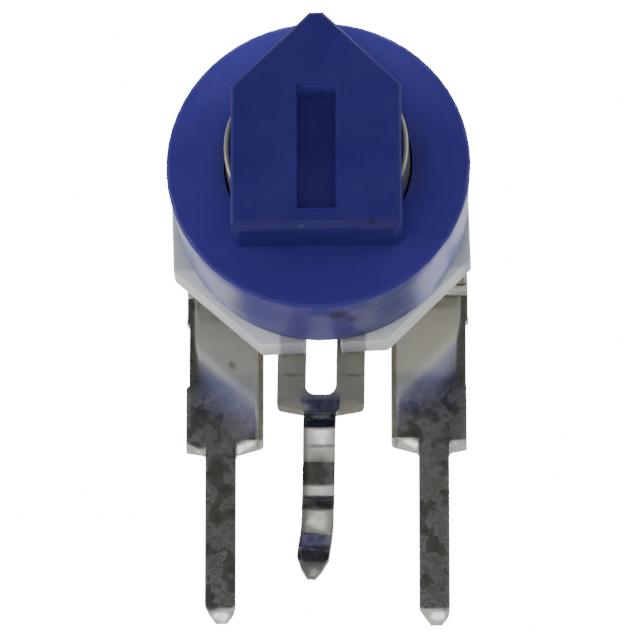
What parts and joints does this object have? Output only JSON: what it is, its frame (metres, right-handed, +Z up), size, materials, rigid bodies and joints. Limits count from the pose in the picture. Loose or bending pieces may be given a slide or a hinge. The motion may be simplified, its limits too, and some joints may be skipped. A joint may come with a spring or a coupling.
{
  "type": "trimmer potentiometer",
  "caption": "Round open-frame trimmer potentiometer for a printed board: a blue slotted arrow knob turns in front of a ceramic plate on three sheet-metal leads.",
  "frame": {"origin": "on the board's surface, half way between the two outer pins", "axes": "+Z up from the board, the knob faces -Y, +X to the right as seen from the knob's side; the three pins go down into the board"},
  "size_m": [0.007, 0.0071, 0.0129],
  "materials": {
    "blue_moulding": "satin moulded, deep blue",
    "nickel_silver": "bright rolled sheet",
    "spring_bronze": "bright rolled strip",
    "alumina": "fired, slightly translucent white",
    "black_film": "printed and fired, dull black",
    "silver_film": "printed and fired, dull silver",
    "solder": "bright solder",
    "tinned_sheet": "tinned, slightly stained"
  },
  "bodies": {
    "stator": {"hub_rivet": "nickel_silver", "ceramic_plate": "alumina", "resistive_track": "black_film", "left_end_pad": "silver_film", "right_end_pad": "silver_film", "left_solder": "solder", "right_solder": "solder", "left_terminal": "tinned_sheet", "right_terminal": "tinned_sheet", "wiper_terminal": "tinned_sheet"},
    "rotor": {"rotor_knob": "blue_moulding", "wiper_carrier": "nickel_silver", "wiper_spring": "spring_bronze"}
  },
  "joints": [
    {"name": "rotor_turn", "type": "hinge", "parent": "stator", "child": "rotor", "pos_m": [0, -0.0034, 0.00511], "axis": [0, 1, 0], "range_deg": [-120, 120]}
  ]
}
